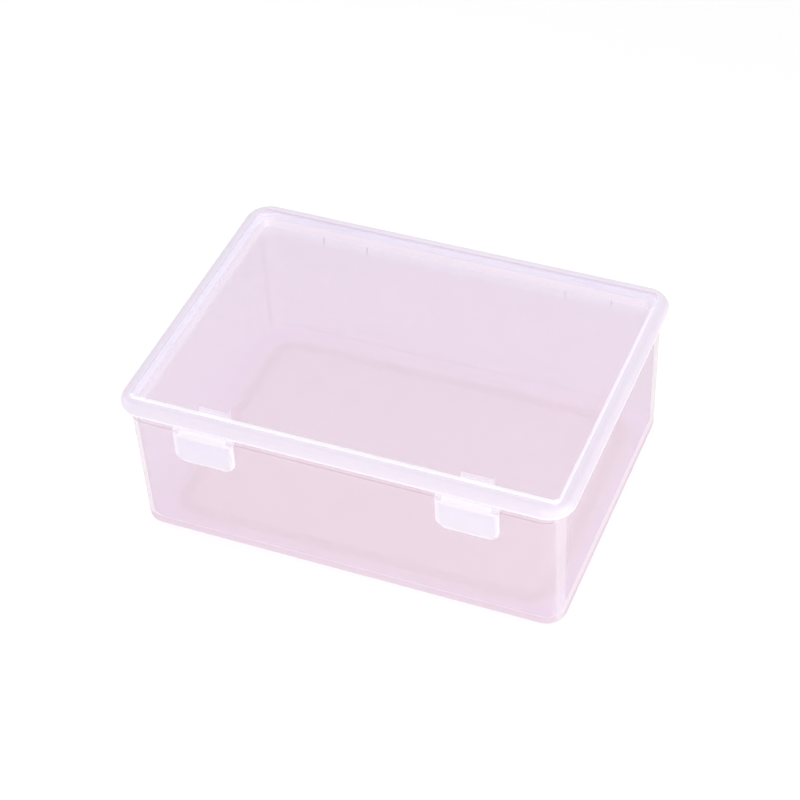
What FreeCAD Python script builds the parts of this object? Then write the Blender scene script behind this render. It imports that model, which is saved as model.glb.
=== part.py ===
import FreeCAD, Part
import os
import re
import Sketcher

# Clear plastic storage box: a drafted tray, a hinged cap lid and two front snap latches.
# Millimetres, +Z up, the latches face -Y. The origin is the middle of the base, on the table.

document = FreeCAD.newDocument("storage_box")
sheet = document.addObject("Spreadsheet::Sheet", "sizes")

# Driving sizes of the box, each with the place it measures
SIZES = (
    ("lid_width", 165.0, "lid, left to right"),
    ("lid_length", 120.0, "lid, front to back"),
    ("box_height", 60.0, "table to the top of the raised lid panel"),
    ("lid_corner", 9.3, "corner radius of the lid seen from above"),
    ("lid_wall", 1.3, "thickness of the lid's panel and border"),
    ("lid_edge_round", 2.6, "round along the lid's outer top edge"),
    ("channel_chamfer", 0.8, "bevel inside the skirt, under the lid's outer edge"),
    ("panel_inset", 4.3, "lid edge to the raised panel"),
    ("panel_corner", 2.6, "corner radius of the raised panel seen from above"),
    ("panel_step", 0.7, "height of the raised panel above the border"),
    ("panel_edge_round", 0.4, "round along the raised panel's edge"),
    ("skirt_wall", 1.4, "thickness of the lid's skirt"),
    ("skirt_depth", 4.9, "panel top to the skirt's lower edge"),
    ("skirt_lip_chamfer", 0.4, "bevel along the skirt's lower outer edge"),
    ("rib_inset", 5.8, "lid edge to the locating rib under the lid"),
    ("rib_wall", 1.2, "thickness of the locating rib"),
    ("rib_depth", 6.0, "panel top to the rib's lower edge"),
    ("rib_root_round", 1.2, "cove between the rib and the panel"),
    ("brace_width", 11.3, "bracing tab behind each latch, along the front"),
    ("brace_inset", 9.5, "lid edge to the bracing tab"),
    ("brace_wall", 1.5, "thickness of the bracing tab"),
    ("brace_depth", 7.4, "panel top to the bracing tab's lower edge"),
    ("seat_gap", 0.15, "tray rim to the lid border that rests on it"),
    ("rim_inset", 2.4, "lid edge to the tray wall at its rim"),
    ("base_inset", 3.3, "lid edge to the tray wall at the table"),
    ("base_corner", 7.4, "corner radius of the tray at the table"),
    ("base_round", 2.2, "round under the tray's outer edge"),
    ("tray_wall", 1.5, "thickness of the tray's walls"),
    ("rim_chamfer", 0.4, "bevel on the tray's rim"),
    ("tray_floor", 1.6, "thickness of the tray's floor"),
    ("floor_round", 2.4, "cove between the floor and the walls inside"),
    ("bead_proud", 0.9, "stop bead round the tray, proud of the wall"),
    ("bead_height", 3.4, "height of the stop bead"),
    ("bead_gap", 0.35, "skirt's lower edge to the stop bead"),
    ("bead_chamfer", 0.4, "bevel on the stop bead's edges"),
    ("latch_from_end", 34.5, "end of the lid to the middle of a latch"),
    ("latch_width", 22.5, "width of a latch"),
    ("latch_plate", 1.2, "thickness of a latch's plate"),
    ("latch_drop", 19.4, "panel top to a latch's lower edge"),
    ("latch_corner", 4.2, "round of a latch's lower corners"),
    ("latch_edge_chamfer", 0.35, "bevel on the edges of a latch's outer face"),
    ("latch_barrel", 1.1, "radius of a latch's barrel"),
    ("latch_setback", 0.1, "lid edge back to a latch's pivot"),
    ("latch_gap", 0.25, "skirt's lower edge to a latch's barrel"),
    ("ear_width", 2.4, "width of an ear that holds a latch"),
    ("ear_radius", 1.0, "radius of an ear round the pivot"),
    ("ear_gap", 0.25, "clearance between an ear and its latch"),
    ("pivot_radius", 0.55, "stub pivot moulded on an ear"),
    ("pivot_length", 1.3, "length of a stub pivot"),
    ("pivot_fit", 0.05, "radial clearance of a stub pivot in its hole"),
    ("pivot_end_gap", 0.3, "clearance at the end of a stub pivot"),
    ("catch_width", 16.0, "width of a catch on the tray's front"),
    ("catch_proud", 1.7, "catch, proud of the tray wall"),
    ("catch_drop", 13.0, "panel top to the catch's under face"),
    ("catch_land", 0.8, "height of the catch's front land"),
    ("catch_ramp", 2.6, "height of the catch's lead-in ramp"),
    ("hook_gap", 0.25, "catch's under face to a latch's hook"),
    ("hook_reach", 1.7, "hook, proud of the latch's inner face"),
    ("hook_land", 0.8, "height of the hook's tip"),
    ("hook_ramp", 1.6, "height of the hook's lead-in ramp"),
    ("hinge_from_end", 34.5, "end of the lid to the middle of a rear hinge"),
    ("hinge_setback", 1.9, "lid's rear face back to the hinge axis"),
    ("hinge_drop", 6.6, "panel top down to the hinge axis"),
    ("hinge_barrel", 1.7, "radius of the hinge barrels"),
    ("knuckle_width", 12.0, "width of the lid's hinge knuckle"),
    ("lug_width", 5.0, "width of each of the tray's hinge lugs"),
    ("knuckle_gap", 0.3, "clearance between knuckle and lug"),
    ("lug_gap", 0.4, "skirt's lower edge to the top of a lug"),
    ("lug_gusset", 7.0, "length of the gusset under a lug, down the wall"),
    ("pin_radius", 0.8, "radius of a hinge pin"),
    ("pin_seat_fit", 0.02, "radial clearance of the pin in the lugs"),
    ("pin_running_fit", 0.06, "radial clearance of the pin in the knuckle"),
    ("pin_chamfer", 0.25, "chamfer on the ends of a hinge pin"),
)
for row, (alias, value, place) in enumerate(SIZES, start=1):
    sheet.set("A%d" % row, alias)
    sheet.set("B%d" % row, str(value))
    sheet.set("C%d" % row, place)
    sheet.setAlias("B%d" % row, alias)
document.recompute()

ALIASES = {alias for alias, value, place in SIZES}
SAME_PLACE = 1e-4  # two edges closer than this, in millimetres, lie in one place


def formula(text):
    """Write a sum of size names as the sheet's own expression."""
    return re.sub(r"[a-z_]+", lambda word: "sizes." + word[0] if word[0] in ALIASES else word[0], text)


def amount(text):
    """Value of a sum of size names, in millimetres."""
    return float(sheet.evalExpression(formula(text)))


# Heights and places that several pieces share, as sums of the driving sizes
BORDER_TOP = "(box_height - panel_step)"
BORDER_UNDERSIDE = "(box_height - panel_step - lid_wall)"
PANEL_UNDERSIDE = "(box_height - lid_wall)"
SKIRT_EDGE = "(box_height - skirt_depth)"
TRAY_RIM = "(box_height - panel_step - lid_wall - seat_gap)"
WALL_DRAFT = "atan((base_inset - rim_inset) / %s)" % TRAY_RIM
LATCH_AXIS_Y = "(latch_setback - lid_length / 2)"
LATCH_AXIS_Z = "(box_height - skirt_depth - latch_gap - latch_barrel)"
HINGE_AXIS_Y = "(lid_length / 2 + hinge_setback)"
HINGE_AXIS_Z = "(box_height - hinge_drop)"
FRONT_WALL_CORE = "(rim_inset + tray_wall / 2 - lid_length / 2)"
LATCH_X = "(lid_width / 2 - latch_from_end)"
HINGE_X = "(lid_width / 2 - hinge_from_end)"


def plane(body, role):
    """One of a body's own origin planes."""
    return next(item for item in body.Origin.OriginFeatures if item.Role == role)


def sketch_on(body, name, role, offset="0"):
    """An empty sketch on a body's origin plane, moved along the plane's normal by offset."""
    sketch = body.newObject("Sketcher::SketchObject", name)
    sketch.AttachmentSupport = [(plane(body, role), "")]
    sketch.MapMode = "FlatFace"
    if offset != "0":
        sketch.setExpression("AttachmentOffset.Base.z", formula(offset))
    return sketch


def dimension(sketch, kind, where, text):
    """A driving dimension of a sketch, bound to a sum of size names."""
    index = sketch.addConstraint(Sketcher.Constraint(kind, *where, amount(text)))
    sketch.setExpression("Constraints[%d]" % index, formula(text))


def place_point(sketch, edge, end, across, up):
    """Fix one end of a sketch edge at two sums of size names."""
    dimension(sketch, "DistanceX", (-1, 1, edge, end), across)
    dimension(sketch, "DistanceY", (-1, 1, edge, end), up)


def polygon(sketch, points):
    """A closed outline of straight edges through points given as sums of size names."""
    spots = [FreeCAD.Vector(amount(across), amount(up), 0) for across, up in points]
    edges = [sketch.addGeometry(Part.LineSegment(spots[i - 1], spots[i])) for i in range(len(spots))]
    for i, edge in enumerate(edges):
        sketch.addConstraint(Sketcher.Constraint("Coincident", edges[i - 1], 2, edge, 1))
        place_point(sketch, edge, 2, *points[i])


def rectangle(sketch, left, right, low, high):
    """An upright rectangle between four sums of size names."""
    polygon(sketch, [(left, low), (right, low), (right, high), (left, high)])


def circle(sketch, across, up, radius):
    """A circle whose middle and radius are sums of size names."""
    middle = FreeCAD.Vector(amount(across), amount(up), 0)
    edge = sketch.addGeometry(Part.Circle(middle, FreeCAD.Vector(0, 0, 1), amount(radius)))
    place_point(sketch, edge, 3, across, up)
    dimension(sketch, "Radius", (edge,), radius)


def rounded_rectangle(sketch, inset, corner):
    """The lid's outline drawn in by inset, with corners of the given radius."""
    half_x = "(lid_width / 2 - %s)" % inset
    half_y = "(lid_length / 2 - %s)" % inset
    flat_x = "(%s - %s)" % (half_x, corner)
    flat_y = "(%s - %s)" % (half_y, corner)
    runs = (
        (("-" + flat_x, "-" + half_y), (flat_x, "-" + half_y)),
        ((half_x, "-" + flat_y), (half_x, flat_y)),
        ((flat_x, half_y), ("-" + flat_x, half_y)),
        (("-" + half_x, flat_y), ("-" + half_x, "-" + flat_y)),
    )
    spots = [[FreeCAD.Vector(amount(a), amount(b), 0) for a, b in run] for run in runs]
    lines = [sketch.addGeometry(Part.LineSegment(*ends)) for ends in spots]
    for i, line in enumerate(lines):
        place_point(sketch, line, 1, *runs[i][0])
        place_point(sketch, line, 2, *runs[i][1])
    for i, line in enumerate(lines):
        ahead = (i + 1) % len(lines)
        start, end = spots[i][1], spots[ahead][0]
        middle = FreeCAD.Vector(start.x if i % 2 == 0 else end.x, end.y if i % 2 == 0 else start.y, 0)
        toward = (start - middle).normalize() + (end - middle).normalize()
        crown = middle + toward.normalize() * amount(corner)
        arc = sketch.addGeometry(Part.Arc(start, crown, end))
        sketch.addConstraint(Sketcher.Constraint("Coincident", arc, 1, line, 2))
        sketch.addConstraint(Sketcher.Constraint("Coincident", arc, 2, lines[ahead], 1))
        dimension(sketch, "Radius", (arc,), corner)


def pad(body, name, sketch, length, both_ways=False, backwards=False, draft=None):
    """Material added along a sketch's normal."""
    feature = body.newObject("PartDesign::Pad", name)
    feature.Profile = sketch
    feature.setExpression("Length", formula(length))
    if both_ways:
        feature.SideType = "Symmetric"
    feature.Reversed = backwards
    if draft:
        feature.setExpression("TaperAngle", formula(draft))
    return feature


def pocket(body, name, sketch, length, both_ways=False, backwards=False, draft=None):
    """Material cut against a sketch's normal, or along it if backwards; it has to take some away."""
    document.recompute()
    before = body.Shape.Volume
    feature = body.newObject("PartDesign::Pocket", name)
    feature.Profile = sketch
    feature.setExpression("Length", formula(length))
    if both_ways:
        feature.SideType = "Symmetric"
    feature.Reversed = backwards
    if draft:
        feature.setExpression("TaperAngle", formula(draft))
    document.recompute()
    if not body.Shape.Volume < before:
        raise RuntimeError("%s cuts nothing" % name)
    return feature


def ease_edges(body, kind, name, wanted, size):
    """Round or bevel every edge of the body that wanted picks."""
    document.recompute()
    tip = body.Tip
    picked = ["Edge%d" % i for i, edge in enumerate(tip.Shape.Edges, start=1) if wanted(edge)]
    if not picked:
        raise RuntimeError("%s finds no edge" % name)
    feature = body.newObject("PartDesign::" + kind, name)
    feature.Base = (tip, picked)
    feature.setExpression("Radius" if kind == "Fillet" else "Size", formula(size))
    return feature


def mirror(body, name, features, role="YZ_Plane"):
    """The same features again on the other side of an origin plane."""
    document.recompute()
    feature = body.newObject("PartDesign::Mirrored", name)
    feature.Originals = features
    feature.MirrorPlane = (plane(body, role), [""])
    body.Tip = feature
    return feature


def level(height):
    """Test for edges that lie flat at a height."""
    target = amount(height)
    return lambda edge: max(abs(edge.BoundBox.ZMin - target), abs(edge.BoundBox.ZMax - target)) < SAME_PLACE


def outline_at(height, inset):
    """Test for edges that lie flat at a height on the lid's outline drawn in by inset."""
    at_height = level(height)
    half_x = amount("lid_width / 2 - %s" % inset)
    half_y = amount("lid_length / 2 - %s" % inset)

    def on_outline(edge):
        box = edge.BoundBox
        short_x = abs(max(-box.XMin, box.XMax) - half_x)
        short_y = abs(max(-box.YMin, box.YMax) - half_y)
        return at_height(edge) and min(short_x, short_y) < SAME_PLACE
    return on_outline


# Tray: drafted walls rounded into the floor, a stop bead under the skirt, catches and hinge lugs
tray = document.addObject("PartDesign::Body", "tray")
outline = sketch_on(tray, "tray_outline", "XY_Plane")
rounded_rectangle(outline, "base_inset", "base_corner")
pad(tray, "tray_block", outline, TRAY_RIM, draft=WALL_DRAFT)
ease_edges(tray, "Fillet", "tray_base_round", outline_at("0", "base_inset"), "base_round")

BEAD_TOP = "(box_height - skirt_depth - bead_gap)"
BEAD_INSET = "(rim_inset - bead_proud)"
bead_outline = sketch_on(tray, "bead_outline", "XY_Plane", BEAD_TOP)
rounded_rectangle(bead_outline, BEAD_INSET, "(base_corner + base_inset - rim_inset + bead_proud)")
pad(tray, "stop_bead", bead_outline, "bead_height", backwards=True)
ease_edges(tray, "Chamfer", "bead_upper_bevel", outline_at(BEAD_TOP, BEAD_INSET), "bead_chamfer")
BEAD_UNDERSIDE = "(%s - bead_height)" % BEAD_TOP
ease_edges(tray, "Chamfer", "bead_lower_bevel", outline_at(BEAD_UNDERSIDE, BEAD_INSET), "bead_chamfer")

CATCH_UNDER = "(box_height - catch_drop)"
CATCH_TIP = "(rim_inset - catch_proud - lid_length / 2)"
catch_profile = sketch_on(tray, "catch_profile", "YZ_Plane", LATCH_X)
polygon(catch_profile, [
    (FRONT_WALL_CORE, CATCH_UNDER),
    (CATCH_TIP, CATCH_UNDER),
    (CATCH_TIP, "%s + catch_land" % CATCH_UNDER),
    (FRONT_WALL_CORE, "%s + catch_land + catch_ramp" % CATCH_UNDER),
])
catch = pad(tray, "catch", catch_profile, "catch_width", both_ways=True)

LUG_OUT = "(knuckle_width / 2 + knuckle_gap + lug_width / 2)"
REAR_WALL_CORE = "(lid_length / 2 - rim_inset - tray_wall / 2)"
lugs = []
for side, sign in (("outer", "+"), ("inner", "-")):
    middle = "%s %s %s" % (HINGE_X, sign, LUG_OUT)
    barrel_profile = sketch_on(tray, side + "_lug_barrel_profile", "YZ_Plane", middle)
    circle(barrel_profile, HINGE_AXIS_Y, HINGE_AXIS_Z, "hinge_barrel")
    lugs.append(pad(tray, side + "_lug_barrel", barrel_profile, "lug_width", both_ways=True))
    gusset_profile = sketch_on(tray, side + "_lug_gusset_profile", "YZ_Plane", middle)
    polygon(gusset_profile, [
        (REAR_WALL_CORE, "%s - lug_gap" % SKIRT_EDGE),
        (REAR_WALL_CORE, "%s - hinge_barrel - lug_gusset" % HINGE_AXIS_Z),
        (HINGE_AXIS_Y, "%s - hinge_barrel" % HINGE_AXIS_Z),
        (HINGE_AXIS_Y, "%s - lug_gap" % SKIRT_EDGE),
    ])
    lugs.append(pad(tray, side + "_lug_gusset", gusset_profile, "lug_width", both_ways=True))
mirror(tray, "other_side_fittings", [catch] + lugs)

cavity_outline = sketch_on(tray, "cavity_outline", "XY_Plane", "tray_floor")
rounded_rectangle(cavity_outline, "(base_inset + tray_wall)", "(base_corner - tray_wall)")
pocket(tray, "cavity", cavity_outline, "box_height", backwards=True, draft=WALL_DRAFT)
FLOOR_EDGE = outline_at("tray_floor", "(base_inset + tray_wall)")
ease_edges(tray, "Fillet", "floor_cove", FLOOR_EDGE, "floor_round")
ease_edges(tray, "Chamfer", "rim_bevel", level(TRAY_RIM), "rim_chamfer")

lug_bore = sketch_on(tray, "lug_bore_profile", "YZ_Plane")
circle(lug_bore, HINGE_AXIS_Y, HINGE_AXIS_Z, "(pin_radius + pin_seat_fit)")
pocket(tray, "lug_bores", lug_bore, "lid_width", both_ways=True)

# Lid: a shallow cap with a raised panel, a locating rib inside, latch ears and hinge knuckles
lid = document.addObject("PartDesign::Body", "lid")
cap_outline = sketch_on(lid, "cap_outline", "XY_Plane", SKIRT_EDGE)
rounded_rectangle(cap_outline, "0", "lid_corner")
pad(lid, "cap", cap_outline, "skirt_depth - panel_step")
ease_edges(lid, "Fillet", "cap_edge_round", outline_at(BORDER_TOP, "0"), "lid_edge_round")
ease_edges(lid, "Chamfer", "skirt_lip_bevel", outline_at(SKIRT_EDGE, "0"), "skirt_lip_chamfer")

panel_outline = sketch_on(lid, "panel_outline", "XY_Plane", BORDER_TOP)
rounded_rectangle(panel_outline, "panel_inset", "panel_corner")
pad(lid, "raised_panel", panel_outline, "panel_step")
PANEL_EDGE = outline_at("box_height", "panel_inset")
ease_edges(lid, "Fillet", "panel_edge_round", PANEL_EDGE, "panel_edge_round")

channel_outline = sketch_on(lid, "channel_outline", "XY_Plane", BORDER_UNDERSIDE)
rounded_rectangle(channel_outline, "skirt_wall", "(lid_corner - skirt_wall)")
pocket(lid, "channel", channel_outline, "skirt_depth")
CHANNEL_CORNER = outline_at(BORDER_UNDERSIDE, "skirt_wall")
ease_edges(lid, "Chamfer", "channel_bevel", CHANNEL_CORNER, "channel_chamfer")

rib_outline = sketch_on(lid, "rib_outline", "XY_Plane", BORDER_UNDERSIDE)
rounded_rectangle(rib_outline, "rib_inset", "(lid_corner - rib_inset)")
RIB_HANG = "(rib_depth - panel_step - lid_wall)"
pad(lid, "rib_block", rib_outline, RIB_HANG, backwards=True)

RIB_INNER = "(rib_inset + rib_wall)"
recess_outline = sketch_on(lid, "recess_outline", "XY_Plane", PANEL_UNDERSIDE)
rounded_rectangle(recess_outline, RIB_INNER, "(lid_corner - rib_inset - rib_wall)")
pocket(lid, "recess", recess_outline, "rib_depth")
ease_edges(lid, "Fillet", "rib_root_round", outline_at(PANEL_UNDERSIDE, RIB_INNER), "rib_root_round")

BRACE_FRONT = "(brace_inset - lid_length / 2)"
brace_outline = sketch_on(lid, "brace_outline", "XY_Plane", PANEL_UNDERSIDE)
rectangle(brace_outline, "%s - brace_width / 2" % LATCH_X, "%s + brace_width / 2" % LATCH_X,
          BRACE_FRONT, "%s + brace_wall" % BRACE_FRONT)
brace = pad(lid, "brace_tab", brace_outline, "brace_depth - lid_wall", backwards=True)

EAR_OUT = "(latch_width / 2 - ear_width / 2)"
PIVOT_START = "(latch_width / 2 - ear_width)"
fittings = [brace]
for side, sign in (("outer", "+"), ("inner", "-")):
    middle = "%s %s %s" % (LATCH_X, sign, EAR_OUT)
    ear_profile = sketch_on(lid, side + "_ear_profile", "YZ_Plane", middle)
    circle(ear_profile, LATCH_AXIS_Y, LATCH_AXIS_Z, "ear_radius")
    fittings.append(pad(lid, side + "_ear", ear_profile, "ear_width", both_ways=True))
    stem_profile = sketch_on(lid, side + "_ear_stem_profile", "YZ_Plane", middle)
    rectangle(stem_profile, "skirt_lip_chamfer - lid_length / 2", "%s + ear_radius" % LATCH_AXIS_Y,
              LATCH_AXIS_Z, "%s + skirt_lip_chamfer" % SKIRT_EDGE)
    fittings.append(pad(lid, side + "_ear_stem", stem_profile, "ear_width", both_ways=True))
    pivot_profile = sketch_on(lid, side + "_pivot_profile", "YZ_Plane",
                              "%s %s %s" % (LATCH_X, sign, PIVOT_START))
    circle(pivot_profile, LATCH_AXIS_Y, LATCH_AXIS_Z, "pivot_radius")
    fittings.append(pad(lid, side + "_pivot", pivot_profile, "pivot_length", backwards=(sign == "+")))

knuckle_barrel = sketch_on(lid, "knuckle_barrel_profile", "YZ_Plane", HINGE_X)
circle(knuckle_barrel, HINGE_AXIS_Y, HINGE_AXIS_Z, "hinge_barrel")
fittings.append(pad(lid, "knuckle_barrel", knuckle_barrel, "knuckle_width", both_ways=True))
knuckle_web = sketch_on(lid, "knuckle_web_profile", "YZ_Plane", HINGE_X)
SKIRT_CORE = "(lid_length / 2 - skirt_wall / 2)"
polygon(knuckle_web, [
    (SKIRT_CORE, SKIRT_EDGE),
    ("%s - hinge_barrel" % HINGE_AXIS_Y, HINGE_AXIS_Z),
    ("%s + hinge_barrel" % HINGE_AXIS_Y, HINGE_AXIS_Z),
    ("lid_length / 2", "%s - lid_edge_round" % BORDER_TOP),
    (SKIRT_CORE, "%s - lid_edge_round" % BORDER_TOP),
])
fittings.append(pad(lid, "knuckle_web", knuckle_web, "knuckle_width", both_ways=True))
mirror(lid, "other_side_fittings_lid", fittings)

knuckle_bore = sketch_on(lid, "knuckle_bore_profile", "YZ_Plane")
circle(knuckle_bore, HINGE_AXIS_Y, HINGE_AXIS_Z, "(pin_radius + pin_running_fit)")
pocket(lid, "knuckle_bores", knuckle_bore, "lid_width", both_ways=True)


def snap_latch(name, sign):
    """A latch on one side of the front: a plate that hangs from a barrel and hooks under a catch."""
    latch = document.addObject("PartDesign::Body", name)
    middle = "%s %s" % (sign, LATCH_X)
    face = "(%s - latch_barrel)" % LATCH_AXIS_Y
    plate_back = "(%s + latch_plate)" % face
    barrel_end = "(latch_width / 2 - ear_width - ear_gap)"
    low = "(box_height - latch_drop)"
    shoulder = "(%s - ear_radius - ear_gap)" % LATCH_AXIS_Z

    plate = sketch_on(latch, name + "_plate_outline", "XZ_Plane", "0 - %s" % plate_back)
    polygon(plate, [
        ("%s - latch_width / 2" % middle, low),
        ("%s + latch_width / 2" % middle, low),
        ("%s + latch_width / 2" % middle, shoulder),
        ("%s + %s" % (middle, barrel_end), shoulder),
        ("%s + %s" % (middle, barrel_end), LATCH_AXIS_Z),
        ("%s - %s" % (middle, barrel_end), LATCH_AXIS_Z),
        ("%s - %s" % (middle, barrel_end), shoulder),
        ("%s - latch_width / 2" % middle, shoulder),
    ])
    pad(latch, name + "_plate", plate, "latch_plate")

    def lower_corner(edge):
        box = edge.BoundBox
        return box.XLength < SAME_PLACE and box.ZLength < SAME_PLACE and level(low)(edge)
    ease_edges(latch, "Fillet", name + "_corners", lower_corner, "latch_corner")

    barrel = sketch_on(latch, name + "_barrel_profile", "YZ_Plane", middle)
    circle(barrel, LATCH_AXIS_Y, LATCH_AXIS_Z, "latch_barrel")
    pad(latch, name + "_barrel", barrel, "2 * %s" % barrel_end, both_ways=True)

    hook_top = "(box_height - catch_drop - hook_gap)"
    hook = sketch_on(latch, name + "_hook_profile", "YZ_Plane", middle)
    plate_core = "(%s + latch_plate / 2)" % face
    polygon(hook, [
        (plate_core, hook_top),
        (plate_core, "%s - hook_land - hook_ramp" % hook_top),
        ("%s + hook_reach" % plate_back, "%s - hook_land" % hook_top),
        ("%s + hook_reach" % plate_back, hook_top),
    ])
    pad(latch, name + "_hook", hook, "catch_width", both_ways=True)

    def outer_edge(edge):
        box = edge.BoundBox
        on_face = max(abs(box.YMin - amount(face)), abs(box.YMax - amount(face))) < SAME_PLACE
        return on_face and box.ZMax < amount(LATCH_AXIS_Z) - SAME_PLACE
    ease_edges(latch, "Chamfer", name + "_face_bevel", outer_edge, "latch_edge_chamfer")

    for end, outward in (("left", "-"), ("right", "+")):
        socket = sketch_on(latch, "%s_%s_socket" % (name, end), "YZ_Plane",
                           "%s %s %s" % (middle, outward, barrel_end))
        circle(socket, LATCH_AXIS_Y, LATCH_AXIS_Z, "(pivot_radius + pivot_fit)")
        reach = "pivot_length - ear_gap + pivot_end_gap"
        pocket(latch, "%s_%s_socket_hole" % (name, end), socket, reach, backwards=(outward == "-"))
    return latch


def hinge_pin(name, sign):
    """A plain pin through the two lugs and the knuckle of one rear hinge."""
    length = "(knuckle_width + 2 * knuckle_gap + 2 * lug_width)"
    pin = document.addObject("PartDesign::Body", name)
    profile = sketch_on(pin, name + "_profile", "YZ_Plane", "%s %s" % (sign, HINGE_X))
    circle(profile, HINGE_AXIS_Y, HINGE_AXIS_Z, "pin_radius")
    pad(pin, name + "_shank", profile, length, both_ways=True)

    def end_rim(edge):
        return edge.BoundBox.XLength < SAME_PLACE
    ease_edges(pin, "Chamfer", name + "_ends", end_rim, "pin_chamfer")
    return pin


pieces = [
    tray,
    lid,
    snap_latch("left_latch", "0 -"),
    snap_latch("right_latch", "0 +"),
    hinge_pin("left_hinge_pin", "0 -"),
    hinge_pin("right_hinge_pin", "0 +"),
]
document.recompute()

for item in document.Objects:
    if "Invalid" in item.State or "Error" in item.State:
        raise RuntimeError("%s did not build: %s" % (item.Name, item.State))
for piece in pieces:
    if piece.Shape.isNull() or not piece.Shape.isValid() or len(piece.Shape.Solids) != 1:
        raise RuntimeError("%s is not one sound solid" % piece.Label)

os.makedirs("parts", exist_ok=True)
for piece in pieces:
    piece.Shape.exportStep(os.path.join("parts", piece.Label + ".step"))
    print("%s %.0f mm3" % (piece.Label, piece.Shape.Volume))
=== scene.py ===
import math

import bpy
from mathutils import Matrix, Vector

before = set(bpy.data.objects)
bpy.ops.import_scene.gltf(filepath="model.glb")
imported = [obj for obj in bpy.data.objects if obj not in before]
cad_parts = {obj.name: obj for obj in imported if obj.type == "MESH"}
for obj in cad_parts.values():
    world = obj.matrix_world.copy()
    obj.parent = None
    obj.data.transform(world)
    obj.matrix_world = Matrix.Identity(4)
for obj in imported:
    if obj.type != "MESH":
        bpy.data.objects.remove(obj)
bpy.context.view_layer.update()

# Tray: the lower box, moulded in one shot from hazy see-through polypropylene with a pink cast.
# Its walls lean out towards the rim so that it leaves the mould, and a stop bead runs round it under the lid.
# The plastic is milkier at the corners and the rim, the corners as a painted highlight; it is deeper in
# colour at the foot as painted shade, and bluer inside the walls as a painted reflection.
TRAY_COLOURS = {
    "clear": (0.856, 0.798, 0.827, 1.0),
    # Painted reflection: the bluer tint of the inner walls.
    "reflected_blue": (0.875, 0.805, 0.908, 1.0),
    "pale": (0.90, 0.90, 1.0, 1.0),
    "lug": (0.95, 0.92, 0.95, 1.0),
    # Painted shade: a darker tint for the foot, a line on the floor and the inner corners.
    "painted_shade": (0.74, 0.63, 0.69, 1.0),
    "milk": (0.88, 0.80, 0.86, 1.0),
    "edge": (0.81, 0.845, 0.88, 1.0),
}
TRAY_HAZES = (0.19, 0.62)
TRAY_CORNER = 0.0107
TRAY_CORNER_X = (0.0761, 0.0778)
TRAY_CORNER_Y = (0.0497, 0.0522)
TRAY_CORNER_HIGHLIGHT_SHARE = 0.40
TRAY_DRAFT = 0.0164
TRAY_OUTER_SKIN = (0.0043, 0.0038)
TRAY_INNER_SKIN = (0.0040, 0.0044)
TRAY_FOLD_SHADE_SHARE = 0.35
TRAY_OUTER_FOOT = (0.0050, 0.0044)
TRAY_RIM_BAND = (0.0538, 0.0545)
TRAY_UPPER_BAND = (0.0455, 0.0520)
TRAY_LUG_Y = (0.0581, 0.0584)
TRAY_REFLECTION_REACH = (0.0110, 0.0050)
TRAY_REFLECTION_SHARE = 0.9
TRAY_FLOOR_CORNER = 0.0200
TRAY_FLOOR_LINE = 0.0127
TRAY_FLOOR_LINE_WIDTH = (0.0030, 0.0012)
TRAY_FLOOR_TOP = (0.0030, 0.0024)
TRAY_FLOOR_SHADE_SHARE = 0.24
TRAY_FOOT_FALL = (0.0050, 0.0042)
TRAY_FOOT_SHADE_SHARE = 0.9
LID_HALF_X = 0.0825
LID_HALF_Y = 0.0600
LAMP_TINT = (0.996, 0.993, 0.995, 1.0)
CLOUD_STRETCH = (26.0, 70.0, 40.0)
CLOUD_SCALE = 1.0
CLOUD_DETAIL = 3.0
CLOUD_SHARE = (0.85, 1.15)
SHEEN_SPAN = (0.22, 0.40)
RIPPLE_SCALE = 180.0
RIPPLE_STRENGTH = 0.06
RIPPLE_DEPTH = 0.001
PLASTIC_IOR = 1.49


def add_node(material, kind, values=None, **settings):
    """One shader node: its own settings, and its sockets set to numbers or linked to other sockets."""
    made = material.node_tree.nodes.new("ShaderNode" + kind)
    for name, value in settings.items():
        setattr(made, name, value)
    for socket, value in (values or {}).items():
        if isinstance(value, bpy.types.NodeSocket):
            material.node_tree.links.new(value, made.inputs[socket])
        else:
            made.inputs[socket].default_value = value
    return made


def sum_of(material, operation, first, second=0.0):
    """Two numbers joined by a sum of the given kind."""
    return add_node(material, "Math", {0: first, 1: second}, operation=operation).outputs[0]


def product(material, *shares):
    """Shares multiplied together."""
    total = shares[0]
    for share in shares[1:]:
        total = sum_of(material, "MULTIPLY", total, share)
    return total


def largest(material, *shares):
    """The largest of several shares."""
    total = shares[0]
    for share in shares[1:]:
        total = sum_of(material, "MAXIMUM", total, share)
    return total


def ramp(material, value, span):
    """A soft step from nought at the span's start to one at its end."""
    sockets = {"Value": value, "From Min": span[0], "From Max": span[1]}
    return add_node(material, "MapRange", sockets, interpolation_type="SMOOTHSTEP").outputs["Result"]


def line_at(material, value, middle, width):
    """A soft line round one distance."""
    away = sum_of(material, "ABSOLUTE", sum_of(material, "SUBTRACT", value, middle))
    return ramp(material, away, width)


def spread(material, value, span):
    """A number from nought to one laid over a span."""
    sockets = {"Value": value, "To Min": span[0], "To Max": span[1]}
    return add_node(material, "MapRange", sockets).outputs["Result"]


class Place:
    """Where a point of the piece lies: sideways and front to back from the middle, and in height."""

    def __init__(self, material):
        self.here = add_node(material, "TexCoord").outputs["Object"]
        split = add_node(material, "SeparateXYZ", {"Vector": self.here})
        self.side = sum_of(material, "ABSOLUTE", split.outputs["X"])
        self.depth = split.outputs["Y"]
        self.front = sum_of(material, "ABSOLUTE", self.depth)
        self.height = split.outputs["Z"]


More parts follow.
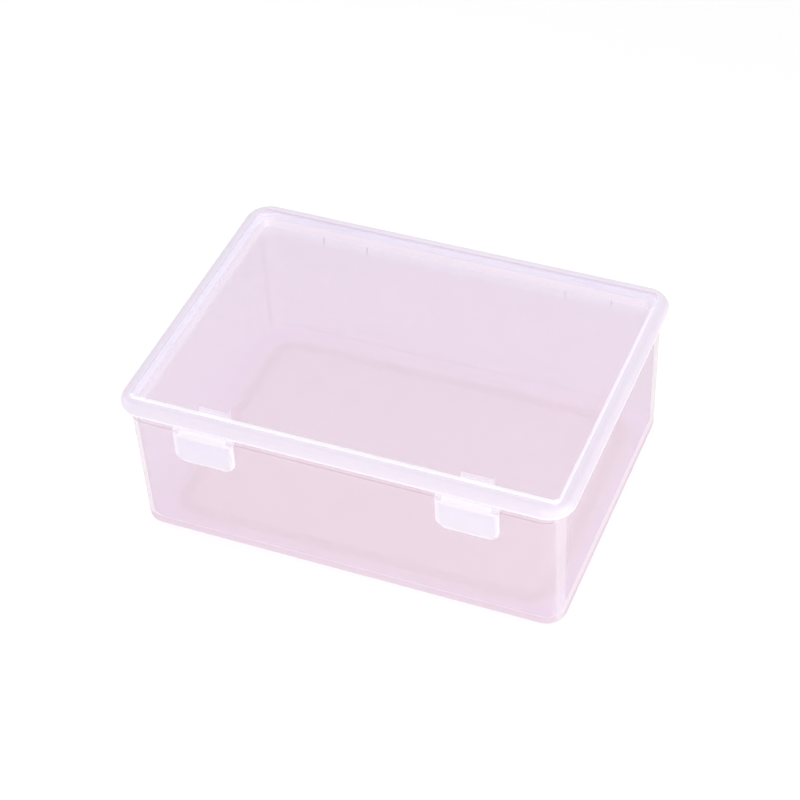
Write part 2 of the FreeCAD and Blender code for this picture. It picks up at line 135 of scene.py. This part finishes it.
def inset(material, place, corner):
    """How far a point lies in from the lid's outline, when that has corners of the given radius."""
    past_x = sum_of(material, "MAXIMUM", sum_of(material, "SUBTRACT", place.side, LID_HALF_X - corner), 0.0)
    past_y = sum_of(material, "MAXIMUM", sum_of(material, "SUBTRACT", place.front, LID_HALF_Y - corner), 0.0)
    past = add_node(material, "CombineXYZ", {"X": past_x, "Y": past_y}).outputs["Vector"]
    reach = add_node(material, "VectorMath", {0: past}, operation="LENGTH").outputs["Value"]
    return sum_of(material, "SUBTRACT", corner, reach)


def blend(material, share, first, second):
    """A colour between two colours."""
    sockets = {"Factor": share, "A": first, "B": second}
    return add_node(material, "Mix", sockets, data_type="RGBA").outputs["Result"]


def hazy_plastic(name, colours, hazes, masks):
    """Hazy polypropylene: part of the light goes straight on with a tint, the rest is scattered as milk."""
    plain_haze, thick_haze = hazes
    material = bpy.data.materials.new(name)
    material.use_nodes = True
    material.node_tree.nodes.clear()
    place = Place(material)
    milky_and_highlights, tints, edge = masks(material, place)

    # Flow of the melt: long faint clouds in the haze and the sheen, and a slow ripple in the skin
    flow = {"Vector": place.here, "Scale": CLOUD_STRETCH}
    stretched = add_node(material, "Mapping", flow).outputs["Vector"]
    clouds = {"Vector": stretched, "Scale": CLOUD_SCALE, "Detail": CLOUD_DETAIL}
    cloud = add_node(material, "TexNoise", clouds).outputs["Fac"]
    plain = product(material, spread(material, cloud, CLOUD_SHARE), plain_haze)
    # The thicker haze paints real milky zones and also the painted highlights that the masks hold.
    solid = add_node(material, "Mix", {"Factor": milky_and_highlights, "A": plain, "B": thick_haze}).outputs["Result"]
    ripple = add_node(material, "TexNoise", {"Vector": place.here, "Scale": RIPPLE_SCALE}).outputs["Fac"]
    ripples = {"Height": ripple, "Strength": RIPPLE_STRENGTH, "Distance": RIPPLE_DEPTH}
    skin = add_node(material, "Bump", ripples).outputs["Normal"]
    tint = colours["clear"]
    for share, colour in tints:
        tint = blend(material, share, tint, colours[colour])
    body = blend(material, edge, colours["milk"], colours["edge"])

    through = add_node(material, "BsdfTransparent", {"Color": tint}).outputs[0]
    sheen = spread(material, cloud, SHEEN_SPAN)
    milk = {"Base Color": body, "Roughness": sheen, "Normal": skin, "IOR": PLASTIC_IOR}
    scattered = add_node(material, "BsdfPrincipled", milk).outputs[0]
    wall = add_node(material, "MixShader", {0: solid, 1: through, 2: scattered}).outputs[0]
    # A wall shows its milk once, where the line of sight goes in, and nothing where it comes out
    leaving = add_node(material, "NewGeometry").outputs["Backfacing"]
    out = add_node(material, "BsdfTransparent").outputs[0]
    seen = add_node(material, "MixShader", {0: leaving, 1: wall, 2: out}).outputs[0]
    # Milk in thin plastic sends light on rather than stopping it, so lamps reach what lies behind
    lamp = add_node(material, "LightPath").outputs["Is Shadow Ray"]
    lit = add_node(material, "BsdfTransparent", {"Color": LAMP_TINT}).outputs[0]
    shown = add_node(material, "MixShader", {0: lamp, 1: seen, 2: lit}).outputs[0]
    add_node(material, "OutputMaterial", {"Surface": shown})
    material.use_backface_culling = True
    return material


def tray_masks(material, place):
    """Milkier corners and rim, the corners as a painted highlight; painted shade, deeper in colour, at the
    foot, along a line on the floor and in inner corners.

    The inner walls are bluer, a painted reflection, and paler at their top, and the hinge lugs are clearer
    than the rest.
    """
    from_edge = inset(material, place, TRAY_CORNER)
    into_wall = sum_of(material, "ADD", from_edge, product(material, place.height, TRAY_DRAFT))
    near_end = ramp(material, place.side, TRAY_CORNER_X)
    round_corner = product(material, near_end, ramp(material, place.front, TRAY_CORNER_Y))
    # Painted highlight: the rounded corners are milkier and paler.
    corner = product(material, round_corner, ramp(material, into_wall, TRAY_OUTER_SKIN), TRAY_CORNER_HIGHLIGHT_SHARE)
    rim = ramp(material, place.height, TRAY_RIM_BAND)
    to_floor = inset(material, place, TRAY_FLOOR_CORNER)
    # Painted shade: a darker line on the floor, standing for the shade of a wider cove.
    floor_line_shade = product(material, line_at(material, to_floor, TRAY_FLOOR_LINE, TRAY_FLOOR_LINE_WIDTH),
                         ramp(material, place.height, TRAY_FLOOR_TOP), TRAY_FLOOR_SHADE_SHARE)
    # Painted shade: the outer foot is darker where the box stands on the floor.
    low = ramp(material, place.height, TRAY_FOOT_FALL)
    foot_shade = product(material, ramp(material, into_wall, TRAY_OUTER_FOOT), low, TRAY_FOOT_SHADE_SHARE)
    inside = ramp(material, into_wall, TRAY_INNER_SKIN)
    # Painted shade: the inner skin is darker in the rounded corners.
    fold_shade = product(material, round_corner, inside, TRAY_FOLD_SHADE_SHARE)
    upper = product(material, inside, ramp(material, place.height, TRAY_UPPER_BAND))
    lug = ramp(material, place.depth, TRAY_LUG_Y)
    # Painted reflection: the inner walls are bluer.
    wall = product(material, inside, ramp(material, to_floor, TRAY_REFLECTION_REACH), TRAY_REFLECTION_SHARE)
    milky_and_highlights = largest(material, corner, rim)
    # Painted shade: the foot, the floor line and the inner corners share a darker tint.
    painted_shade = largest(material, floor_line_shade, foot_shade, fold_shade)
    tints = [(wall, "reflected_blue"), (painted_shade, "painted_shade"), (upper, "pale"), (lug, "lug")]
    return milky_and_highlights, tints, milky_and_highlights


def wear(node, material):
    """Give one piece of the frame its finish."""
    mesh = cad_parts[node].data
    mesh.materials.clear()
    mesh.materials.append(material)


wear("tray", hazy_plastic("tray_plastic", TRAY_COLOURS, TRAY_HAZES, tray_masks))

# Lid: a shallow cap of the same polypropylene that drops over the tray's rim. A raised panel stiffens it,
# and a locating rib under it slips inside the tray. The border, the rib and the skirt are thick to look
# through, so they are almost white, and painted highlights run along the panel's step, its front edge and the
# skirt's edge.
LID_COLOURS = {
    "clear": (0.862, 0.780, 0.833, 1.0),
    "knuckle": (0.95, 0.92, 0.95, 1.0),
    "milk": (0.95, 0.97, 0.985, 1.0),
    "edge": (0.785, 0.72, 0.82, 1.0),
}
LID_HAZES = (0.185, 0.85)
LID_CORNER = 0.0093
LID_PANEL_CORNER = 0.0069
LID_BORDER = (0.0046, 0.0040)
LID_BORDER_SHARE = 0.95
LID_STEP = 0.0045
LID_STEP_WIDTH = (0.0009, 0.0004)
LID_STEP_FOOT = (0.05930, 0.05945)
LID_STEP_HEAD = (0.05997, 0.05985)
LID_STEP_HIGHLIGHT_SHARE = 0.8
LID_FRONT_HIGHLIGHT = 0.0049
LID_FRONT_HIGHLIGHT_Y = (-0.0530, -0.0542)
LID_FRONT_HIGHLIGHT_SHARE = 0.85
LID_UNDER = (0.0588, 0.0584)
LID_RIB = (0.0085, 0.0078)
LID_TAB_Y = (0.0486, 0.0489)
LID_UNDER_SHARE = 0.95
LID_LIP = (0.0568, 0.0558)
LID_LIP_EDGE = (0.0546, 0.0550)
LID_LIP_HIGHLIGHT_SHARE = 0.72
LID_KNUCKLE_Y = (0.06005, 0.0603)


def rest_of(material, share):
    """What a share leaves of the whole."""
    return sum_of(material, "SUBTRACT", 1.0, share)


def lid_masks(material, place):
    """Milkier border, rib and tabs, with painted highlights along the panel's step, its front edge and the
    skirt's edge.

    The hinge knuckles are clearer than the rest.
    """
    from_edge = inset(material, place, LID_CORNER)
    to_panel = inset(material, place, LID_PANEL_CORNER)
    outside = ramp(material, to_panel, LID_BORDER)
    raised = ramp(material, place.height, LID_STEP_FOOT)
    # Painted highlight along the upper rounding of the panel's step.
    step_highlight = product(material, line_at(material, to_panel, LID_STEP, LID_STEP_WIDTH), raised,
                   ramp(material, place.height, LID_STEP_HEAD), LID_STEP_HIGHLIGHT_SHARE)
    # Painted highlight along the panel's front edge.
    front_highlight = product(material, line_at(material, to_panel, LID_FRONT_HIGHLIGHT, LID_STEP_WIDTH), raised,
                     ramp(material, place.depth, LID_FRONT_HIGHLIGHT_Y), LID_FRONT_HIGHLIGHT_SHARE)
    below_border = ramp(material, place.height, LID_LIP)
    above_edge = ramp(material, place.height, LID_LIP_EDGE)
    # Painted highlight along the skirt's lower edge.
    lip_highlight = product(material, outside, below_border, above_edge, LID_LIP_HIGHLIGHT_SHARE)
    highlight_lines = largest(material, step_highlight, front_highlight, lip_highlight)
    border = product(material, outside, rest_of(material, highlight_lines), LID_BORDER_SHARE)
    hanging = largest(material, ramp(material, from_edge, LID_RIB), ramp(material, place.front, LID_TAB_Y))
    under = product(material, hanging, ramp(material, place.height, LID_UNDER), LID_UNDER_SHARE)
    knuckle = ramp(material, place.depth, LID_KNUCKLE_Y)
    milky = largest(material, border, highlight_lines, under)
    milky_and_highlights = product(material, milky, rest_of(material, knuckle))
    return milky_and_highlights, [(knuckle, "knuckle")], border


wear("lid", hazy_plastic("lid_plastic", LID_COLOURS, LID_HAZES, lid_masks))

# Latches: two small plates, moulded from the same polypropylene, that hang from stub pivots under the
# lid's front edge. Each snaps over a catch on the tray. They are milkier than the walls, with painted
# highlights at their edges and barrel.
LATCH_COLOURS = {
    "clear": (0.93, 0.88, 0.93, 1.0),
    "milk": (0.84, 0.848, 0.935, 1.0),
    "edge": (0.85, 0.82, 0.87, 1.0),
}
LATCH_HAZES = (0.60, 0.88)
LATCH_MIDDLE = 0.048
LATCH_SIDE = (0.0092, 0.0108)
LATCH_BARREL_BAND = (0.0515, 0.0527)
LATCH_LOW_BAND = (0.0425, 0.0410)


def off_middle(material, place):
    """How far a point lies sideways from the middle of its latch or hinge."""
    return sum_of(material, "ABSOLUTE", sum_of(material, "SUBTRACT", place.side, LATCH_MIDDLE))


def latch_masks(material, place):
    """Painted highlights: a milkier barrel and edges."""
    # Painted highlights: milkier sides, barrel top and lower lip.
    edge_highlights = ramp(material, off_middle(material, place), LATCH_SIDE)
    barrel_highlight = ramp(material, place.height, LATCH_BARREL_BAND)
    milky_and_highlights = largest(material, edge_highlights, barrel_highlight, ramp(material, place.height, LATCH_LOW_BAND))
    return milky_and_highlights, [], milky_and_highlights


latch_plastic = hazy_plastic("latch_plastic", LATCH_COLOURS, LATCH_HAZES, latch_masks)
wear("left_latch", latch_plastic)
wear("right_latch", latch_plastic)

# Hinge pins: two plain rods behind the box, moulded from the same polypropylene.
# Each is pushed through a pair of the tray's lugs, and a knuckle of the lid turns on it.
PIN_HAZES = (0.60, 0.75)
PIN_END = (0.0095, 0.0110)


def pin_masks(material, place):
    """Milkier cut ends."""
    ends = ramp(material, off_middle(material, place), PIN_END)
    return ends, [], ends


pin_plastic = hazy_plastic("pin_plastic", LATCH_COLOURS, PIN_HAZES, pin_masks)
wear("left_hinge_pin", pin_plastic)
wear("right_hinge_pin", pin_plastic)

# Floor: a wide sheet of plain white board, nearly matt, that the box stands on.
# It lies a hair's breadth below the base, so that the two faces don't share one place.
FLOOR_HALF = 0.8
FLOOR_DROP = 0.0002
BOARD_WHITE = (0.97, 0.97, 0.97, 1.0)
BOARD_ROUGHNESS = 0.9
BOARD_SHINE = 0.1
floor_mesh = bpy.data.meshes.new("floor")
corners = [(-1, -1), (1, -1), (1, 1), (-1, 1)]
floor_points = [(x * FLOOR_HALF, y * FLOOR_HALF, -FLOOR_DROP) for x, y in corners]
floor_mesh.from_pydata(floor_points, [], [(0, 1, 2, 3)])
floor = bpy.data.objects.new("floor", floor_mesh)
bpy.context.scene.collection.objects.link(floor)
board = bpy.data.materials.new("white_board")
board.use_nodes = True
board_shader = board.node_tree.nodes["Principled BSDF"]
board_shader.inputs["Base Color"].default_value = BOARD_WHITE
board_shader.inputs["Roughness"].default_value = BOARD_ROUGHNESS
board_shader.inputs["Specular IOR Level"].default_value = BOARD_SHINE
floor_mesh.materials.append(board)

# Light: a dim white tent all round, with a wide soft lamp above and one at each side.
# The tent looks brighter than it shines, so that its walls are white behind the box in low views.
TENT_WHITE = (1.0, 1.0, 1.0, 1.0)
TENT_STRENGTH = 0.41
TENT_WALL = 1.0
WHITE = (1.0, 1.0, 1.0)
WARM = (1.0, 0.97, 0.96)
COOL = (0.95, 0.97, 1.0)
LAMPS = {
    "high_lamp": {"place": (-0.20, 0.20, 1.30), "size": 1.2, "power": 3.9, "colour": WHITE},
    "front_lamp": {"place": (0.30, -1.30, 0.60), "size": 1.0, "power": 8.2, "colour": WARM},
    "right_lamp": {"place": (1.30, -0.30, 0.60), "size": 1.0, "power": 10.2, "colour": WHITE},
    "back_lamp": {"place": (-0.20, 1.30, 0.60), "size": 1.0, "power": 3.1, "colour": COOL},
    "left_lamp": {"place": (-1.30, -0.10, 0.60), "size": 1.0, "power": 6.5, "colour": COOL},
}
WALLS_IN_SIGHT = 32
tent = bpy.data.worlds.new("white_tent")
tent.use_nodes = True
tent.node_tree.nodes.clear()
tent_glow = add_node(tent, "Background", {"Color": TENT_WHITE, "Strength": TENT_STRENGTH}).outputs[0]
tent_wall = add_node(tent, "Background", {"Color": TENT_WHITE, "Strength": TENT_WALL}).outputs[0]
in_sight = add_node(tent, "LightPath").outputs["Is Camera Ray"]
tent_seen = add_node(tent, "MixShader", {0: in_sight, 1: tent_glow, 2: tent_wall}).outputs[0]
add_node(tent, "OutputWorld", {"Surface": tent_seen})
bpy.context.scene.world = tent
# Sight and light go on through every wall that stands behind another
bpy.context.scene.cycles.transparent_max_bounces = WALLS_IN_SIGHT


def soft_lamp(name, place, size, power, colour):
    """A round soft lamp that faces the box."""
    lamp = bpy.data.lights.new(name, "AREA")
    lamp.shape = "DISK"
    lamp.size = size
    lamp.energy = power
    lamp.color = colour
    made = bpy.data.objects.new(name, lamp)
    made.location = place
    made.rotation_euler = (-Vector(place)).to_track_quat("-Z", "Y").to_euler()
    bpy.context.scene.collection.objects.link(made)


for lamp_name, settings in LAMPS.items():
    soft_lamp(lamp_name, **settings)

# Camera: in front of the box, to its right and above, with a long lens.
# It is rolled by a few degrees and shifted by a pixel or two, as the photograph's framing asks.
LENS_MM = 101.07
SENSOR_MM = 36.0
AZIMUTH = math.radians(24.15)
ELEVATION = math.radians(42.69)
ROLL = math.radians(-3.36)
DISTANCE = 0.8038
AIM_HEIGHT = 0.033
SHIFT_PIXELS = (1.88, 0.71)
PICTURE_PIXELS = 800

level = math.cos(ELEVATION)
back = Vector((math.sin(AZIMUTH) * level, -math.cos(AZIMUTH) * level, math.sin(ELEVATION)))
level_right = Vector((math.cos(AZIMUTH), math.sin(AZIMUTH), 0.0))
level_up = back.cross(level_right)
right = math.cos(ROLL) * level_right + math.sin(ROLL) * level_up
up = math.cos(ROLL) * level_up - math.sin(ROLL) * level_right
view = bpy.data.cameras.new("view")
view.lens = LENS_MM
view.sensor_width = SENSOR_MM
view.shift_x = -SHIFT_PIXELS[0] / PICTURE_PIXELS
view.shift_y = SHIFT_PIXELS[1] / PICTURE_PIXELS
camera = bpy.data.objects.new("view", view)
turn = Matrix((right, up, back)).transposed().to_4x4()
camera.matrix_world = Matrix.Translation(back * DISTANCE + Vector((0, 0, AIM_HEIGHT))) @ turn
bpy.context.scene.collection.objects.link(camera)
bpy.context.scene.camera = camera
bpy.context.scene.view_settings.view_transform = "Standard"
